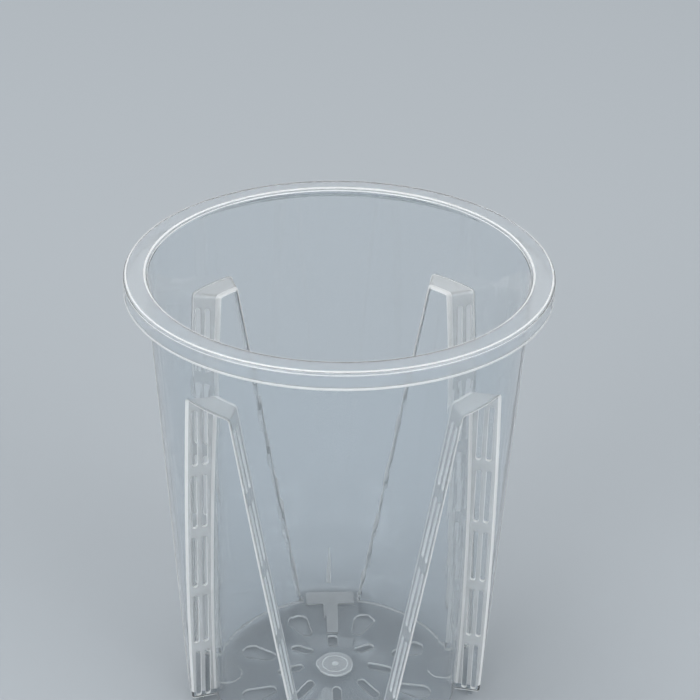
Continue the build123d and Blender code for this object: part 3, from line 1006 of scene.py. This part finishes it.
class POT_OT_slots(bpy.types.Operator):
    """Cut the rows of slots into the vents' side walls"""

    bl_idname = "orchid_pot.slots"
    bl_label = "Vent slots"

    def execute(self, context):
        sizes = context.scene.orchid_pot
        slots = sizes.slots
        form = PotForm(sizes)
        tree = vent_slot_tree(hole_tree())
        edge = form.vent_edge(sizes.vents.roof_height, 1) - form.vent_edge(form.base, 1)
        bridges = (slots.rows - 1) * slots.bridge
        slot_length = (edge.length - slots.lowest - slots.top_gap - bridges) / slots.rows
        rows_span = (slots.rows - 1) * (slot_length + slots.bridge)
        columns_span = (slots.columns - 1) * slots.column_pitch
        round_radius = slots.width / 2
        half_line = slot_length / 2 - round_radius
        values = {
            "Number": sizes.vents.number,
            "First turn": form.leg_pitch / 2,
            "Rows": slots.rows,
            "Columns": slots.columns,
            "Rows span": rows_span,
            "Columns span": columns_span,
            "Rows middle": slots.lowest + slot_length / 2 + rows_span / 2,
            "Columns middle": slots.last_column - columns_span / 2,
            "Edge length": edge.length,
            "Steps": SLOT_STEPS,
            "Near end": -half_line,
            "Far end": half_line,
            "Near radius": round_radius,
            "Far radius": round_radius,
            "Half wall": form.half_wall,
            "Edge round": slots.edge_round,
        }
        for label, side in (("Left", 1), ("Right", -1)):
            place, wall_turn, bow = self.wall_frame(form, side)
            values[label + " place"] = place
            values[label + " turn"] = wall_turn
            values["Edge bow"] = bow
        # The slots' walls take the white edge finish, a painted glow
        slot_cutter = node_object("vent_slots", tree, values, plastic_finishes(sizes), EDGE)
        combine(shell_object(), slot_cutter, "DIFFERENCE")
        return {"FINISHED"}

    def wall_frame(self, form, side):
        """Place and turn of a side wall's middle: x runs up the leg's edge, y into the pot."""
        low = form.vent_edge(form.base, side)
        up = form.vent_edge(form.vents.roof_height, side) - low
        inward, to_leg = form.side_axes(side)
        normal = up.cross(inward).normalized()
        x_axis = up.normalized()
        y_axis = normal.cross(x_axis)
        to_middle = normal * math.copysign(form.half_wall, normal.dot(to_leg))
        wall_turn = Matrix((x_axis, y_axis, normal)).transposed().to_euler()
        halfway = form.vent_edge((form.base + form.vents.roof_height) / 2, side)
        bow = (halfway - low).dot(y_axis)
        return low + to_middle, wall_turn, bow


class POT_OT_drainage(bpy.types.Operator):
    """Cut the petal drain holes and the drain cone's radial slots into the floor"""

    bl_idname = "orchid_pot.drainage"
    bl_label = "Drain holes"

    def execute(self, context):
        sizes = context.scene.orchid_pot
        floor = sizes.floor
        form = PotForm(sizes)
        tree = drain_hole_tree(hole_tree())
        shared = {"Steps": DRAIN_STEPS, "Half wall": form.half_wall, "Edge round": floor.edge_round}
        petals = {
            "Number": floor.petals,
            "First turn": math.pi / floor.petals,
            "Place": (0, 0, form.floor),
            "Tilt": (0, 0, 0),
            "Near end": floor.petal_inner_place,
            "Far end": floor.petal_outer_place,
            "Near radius": floor.petal_inner_radius,
            "Far radius": floor.petal_outer_radius,
        }
        slope_width = floor.cone_radius - floor.cone_flat_radius
        slope = math.atan2(floor.cone_rise, slope_width)
        slot_radius = floor.cone_slot_width / 2
        half_line = (slope_width / 2 - floor.cone_slot_gap) / math.cos(slope) - slot_radius
        middle = (floor.cone_radius + floor.cone_flat_radius) / 2
        cone_slots = {
            "Number": floor.cone_slots,
            "First turn": 0.0,
            "Place": (middle, 0, form.floor + floor.cone_rise / 2),
            "Tilt": (0, slope, 0),
            "Near end": -half_line,
            "Far end": half_line,
            "Near radius": slot_radius,
            "Far radius": slot_radius,
        }
        for name, values in (("petal_holes", petals), ("cone_slots", cone_slots)):
            # The holes' walls take the white edge finish, a painted glow
            cutter = node_object(name, tree, {**shared, **values}, plastic_finishes(sizes), EDGE)
            combine(shell_object(), cutter, "DIFFERENCE")
        return {"FINISHED"}


class POT_OT_details(bpy.types.Operator):
    """Join the feet, the hub button, the bosses, the raised T strips and the ribs to the pot"""

    bl_idname = "orchid_pot.details"
    bl_label = "Moulded details"

    def execute(self, context):
        sizes = context.scene.orchid_pot
        details = sizes.details
        form = PotForm(sizes)
        finishes = plastic_finishes(sizes)
        floor_top = form.floor + form.half_wall
        solids = [self.button(details, floor_top + sizes.floor.cone_rise)]
        for side in (1, -1):
            solids += [
                self.boss(details, floor_top, side),
                self.strip(details, floor_top, side),
                self.rib(details, form, side),
            ]
        for solid in solids:
            bmesh.ops.remove_doubles(solid, verts=solid.verts, dist=WELD)
            bmesh.ops.recalc_face_normals(solid, faces=solid.faces)
            if solid.calc_volume(signed=True) < 0:
                bmesh.ops.reverse_faces(solid, faces=solid.faces)
            combine(shell_object(), new_object("moulded_detail", solid, finishes), "UNION")
        combine(shell_object(), self.feet(sizes, form, finishes), "UNION")
        return {"FINISHED"}

    def turned(self, profile, finishes, place):
        """A closed turned solid from (radius, height) steps that start and end on its axis."""
        mesh = bmesh.new()
        around = steps(0, 2 * math.pi, TURNED_STEPS)
        add_patch(mesh, [[place + polar(r, angle, z) for r, z in profile] for angle in around], finishes)
        return mesh

    def shoulder(self, radius, top, edge):
        """Up the side of a round solid and over its rounded upper edge."""
        eased = edge * EASE
        return [(radius, top - edge), (radius - eased, top - eased), (radius - edge, top)]

    def button(self, details, hub):
        """The round button on the cone, with the gate's mark in its middle and a fine ring round that."""
        top = details.button_height
        edge = BUTTON_EDGE
        half = edge / 2
        eased = edge * EASE
        ring = details.ring_radius
        gate = details.gate_radius
        gate_top = top + details.gate_height
        profile = [(0, -BUTTON_SUNK), (details.button_radius, -BUTTON_SUNK)]
        profile += self.shoulder(details.button_radius, top, edge)
        profile += [(ring + edge, top), (ring + half, top - half)]
        profile += [(ring - half, top - half), (ring - edge, top)]
        profile += [(gate + edge, top), (gate, top + eased)]
        profile += [(gate, gate_top - eased), (gate - eased, gate_top), (0, gate_top)]
        # Painted light: the button's top takes the whiter finish, its rounds and gate the white edge finish
        finishes = [PAINTED_GLANCING_LIGHT] + [EDGE] * 3 + [PAINTED_GLANCING_LIGHT] + [EDGE] * 3 + [PAINTED_GLANCING_LIGHT] + [EDGE] * 4
        return self.turned(profile, finishes, Vector((0, 0, hub)))

    def boss(self, details, floor_top, side):
        """A round boss on a side leg's floor."""
        profile = [(0, -SUNK), (details.boss_radius, -SUNK)]
        profile += self.shoulder(details.boss_radius, details.boss_height, BOSS_EDGE)
        profile.append((0, details.boss_height))
        # The boss's rounded edge takes the white edge finish, a painted glow
        finishes = [WALL, EDGE, EDGE, EDGE, WALL]
        return self.turned(profile, finishes, Vector((side * details.boss_place, 0, floor_top)))

    def strip(self, details, floor_top, side):
        """The raised T on the floor of the front and back legs."""
        stem = details.strip_width / 2
        bar = details.bar_width / 2
        bar_start = details.strip_end - details.bar_length
        half = [(stem, details.strip_start), (stem, bar_start), (bar, bar_start), (bar, details.strip_end)]
        corners = [Vector(c) for c in half] + [Vector((-x, y)) for x, y in reversed(half)]
        outline = []
        # Each corner's arc is walked from the side it comes from to the side it leaves by
        for i, corner in enumerate(corners):
            before = (corners[i - 1] - corner).normalized()
            after = (corners[(i + 1) % len(corners)] - corner).normalized()
            centre = corner + (before + after) * details.strip_round
            for a in steps(0, RIGHT_ANGLE, ROUND_STEPS):
                reach = (after * math.cos(a) + before * math.sin(a)) * -details.strip_round
                outline.append(centre + reach)
        mesh = bmesh.new()
        heights = (floor_top - SUNK, floor_top + details.strip_height)
        low, high = ([mesh.verts.new((side * p.x, side * p.y, z)) for p in outline] for z in heights)
        mesh.faces.new(low)
        lid = mesh.faces.new(high)
        # Painted light: the T's top takes the whiter finish and its sides the white edge finish
        lid.material_index = PAINTED_GLANCING_LIGHT
        for i in range(len(outline)):
            j = (i + 1) % len(outline)
            mesh.faces.new((low[i], low[j], high[j], high[i])).material_index = EDGE
        brink = list(lid.edges)
        bmesh.ops.bevel(mesh, geom=brink, offset=STRIP_EDGE, segments=2, profile=0.5, affect="EDGES")
        return mesh

    def rib(self, details, form, side):
        """The tapered half-round rib up the inside of the front and back legs."""
        bottom = form.floor + form.body.toe_round
        seat_depth = 0.15 * MM
        back_depth = 0.35 * MM
        flatness = 0.9
        tip_start = 0.92
        tip_share = 0.08
        rows = []
        for part in steps(0, 1, RIB_ROWS):
            height = bottom + details.rib_height * part
            radius = details.rib_base_radius + (details.rib_tip_radius - details.rib_base_radius) * part
            tip = max(0.0, part - tip_start) / tip_share
            radius *= math.sqrt(max(0.0, 1 - tip**2))
            seat = form.radius(height) - form.half_wall + seat_depth
            ring = []
            for a in steps(0, 2 * math.pi, RIB_STEPS):
                bulge = math.cos(a)
                inwards = bulge * (radius * flatness + seat_depth if bulge > 0 else back_depth)
                ring.append(Vector((side * math.sin(a) * radius, side * (seat - inwards), height)))
            rows.append(ring)
        rows.insert(0, [Vector((0, side * (form.radius(bottom) - form.half_wall), bottom))] * len(rows[0]))
        mesh = bmesh.new()
        # The whole rib takes the white edge finish, a painted glow
        add_patch(mesh, rows, [EDGE] * (len(rows[0]) - 1))
        return mesh

    def feet(self, sizes, form, finishes):
        """Small round feet under the vents' side walls, just inside the toe."""
        details = sizes.details
        values = {
            "Number": sizes.vents.number,
            "First turn": form.leg_pitch / 2,
            "Diameter": details.foot_diameter,
            "Height": form.floor,
        }
        for label, side in (("Left", 1), ("Right", -1)):
            inward, to_leg = form.side_axes(side)
            place = form.vent_edge(form.base, side) + inward * details.foot_place + to_leg * form.half_wall
            values[label + " place"] = (place.x, place.y, form.floor / 2)
        return node_object("feet", foot_tree(), values, finishes, WALL)


class POT_OT_finish(bpy.types.Operator):
    """Smooth the shell's rounds, keep its edges crisp and seat it on the CAD frame"""

    bl_idname = "orchid_pot.finish"
    bl_label = "Finish"

    def execute(self, context):
        shell = shell_object()
        mesh = shell.data
        mesh.shade_smooth()
        mesh.set_sharp_from_angle(angle=SHARP_ANGLE)
        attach(shell, "root")
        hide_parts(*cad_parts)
        return {"FINISHED"}


STEPS_IN_ORDER = (POT_OT_stage, POT_OT_body, POT_OT_slots, POT_OT_drainage, POT_OT_details, POT_OT_finish)


class POT_PT_sidebar(bpy.types.Panel):
    """The pot's steps and sizes in the 3D view's sidebar"""

    bl_idname = "POT_PT_sidebar"
    bl_label = "Orchid Pot"
    bl_space_type = "VIEW_3D"
    bl_region_type = "UI"
    bl_category = "Orchid Pot"

    def draw(self, context):
        sizes = context.scene.orchid_pot
        for step in STEPS_IN_ORDER:
            self.layout.operator(step.bl_idname)
        for group in ("body", "vents", "slots", "floor", "details", "plastic", "studio"):
            box = self.layout.box()
            box.label(text=group.title())
            settings = getattr(sizes, group)
            for name in settings.__annotations__:
                box.prop(settings, name)


CLASSES = (
    BodySizes,
    VentSizes,
    SlotSizes,
    FloorSizes,
    DetailSizes,
    PlasticFinish,
    StudioSettings,
    OrchidPotSettings,
    *STEPS_IN_ORDER,
    POT_PT_sidebar,
)


def register():
    """Registers the classes and gives every scene the pot's settings."""
    for cls in CLASSES:
        bpy.utils.register_class(cls)
    bpy.types.Scene.orchid_pot = bpy.props.PointerProperty(type=OrchidPotSettings)


def unregister():
    """Takes the settings and the classes away again."""
    del bpy.types.Scene.orchid_pot
    for cls in reversed(CLASSES):
        bpy.utils.unregister_class(cls)


def main():
    """Builds the pot step by step."""
    register()
    bpy.ops.orchid_pot.stage()
    bpy.ops.orchid_pot.body()
    bpy.ops.orchid_pot.slots()
    bpy.ops.orchid_pot.drainage()
    bpy.ops.orchid_pot.details()
    bpy.ops.orchid_pot.finish()


if __name__ == "__main__":
    main()
